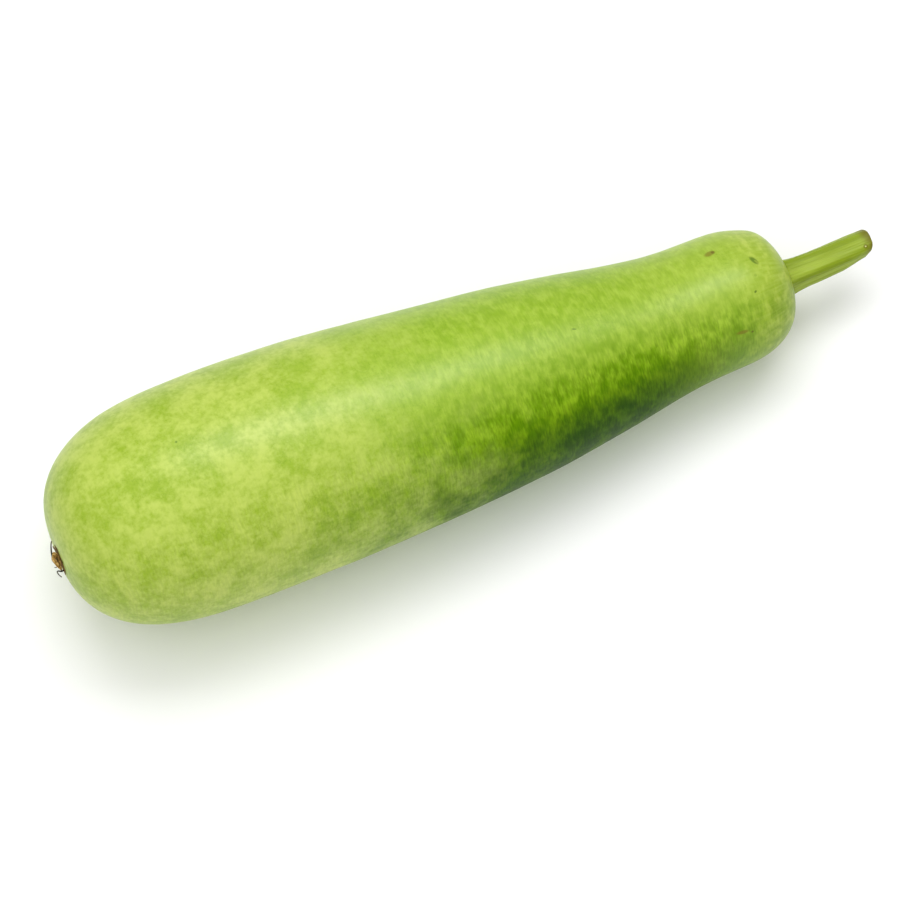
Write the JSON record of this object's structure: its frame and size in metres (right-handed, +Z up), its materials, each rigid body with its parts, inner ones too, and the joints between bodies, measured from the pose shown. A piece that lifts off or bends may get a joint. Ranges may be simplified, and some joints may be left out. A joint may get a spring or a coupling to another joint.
{
  "type": "bottle gourd",
  "caption": "Whole bottle gourd lying on its side: smooth club-shaped green fruit with a slimmer neck, a short ribbed stem cut square, and a withered flower on the blossom end.",
  "frame": {"origin": "bottom centre of the whole gourd's box, on the surface that it lies on", "axes": "+X along the fruit from the blossom end to the stem, +Z up from the surface that it lies on"},
  "size_m": [0.3392, 0.088, 0.0903],
  "materials": {
    "gourd_skin": "smooth waxy vegetable skin, satin, mottled light and dark green",
    "gourd_stem": "fibrous green stalk with lengthwise ribs, olive brown at the cut",
    "dried_flower": "dry brown papery plant remains"
  },
  "bodies": {
    "root": {"fruit": "gourd_skin", "stem": "gourd_stem", "dried_flower": "dried_flower"}
  },
  "joints": []
}
